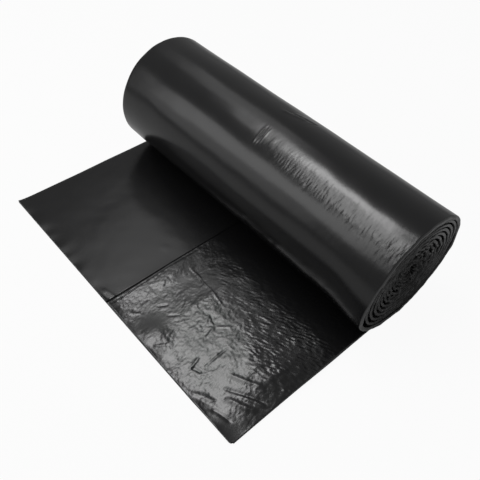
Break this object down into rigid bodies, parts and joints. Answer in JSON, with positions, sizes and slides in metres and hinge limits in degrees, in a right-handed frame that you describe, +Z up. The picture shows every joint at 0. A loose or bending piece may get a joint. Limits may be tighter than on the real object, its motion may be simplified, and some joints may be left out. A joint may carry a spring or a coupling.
{
  "type": "bin bag roll",
  "caption": "Coreless roll of black bin bags lying on its own unrolled flat tail, with a centre gap where the folded side panels meet.",
  "frame": {"origin": "on the floor, under the middle of the roll's axis", "axes": "+X along the roll, the tail reaches out towards -Y, +Z up"},
  "size_m": [0.35, 0.2671, 0.1252],
  "materials": {
    "film": "satin on the left panel, glossy and finely crinkled on the right panel"
  },
  "bodies": {
    "root": {"bag_roll": "film"}
  },
  "joints": []
}
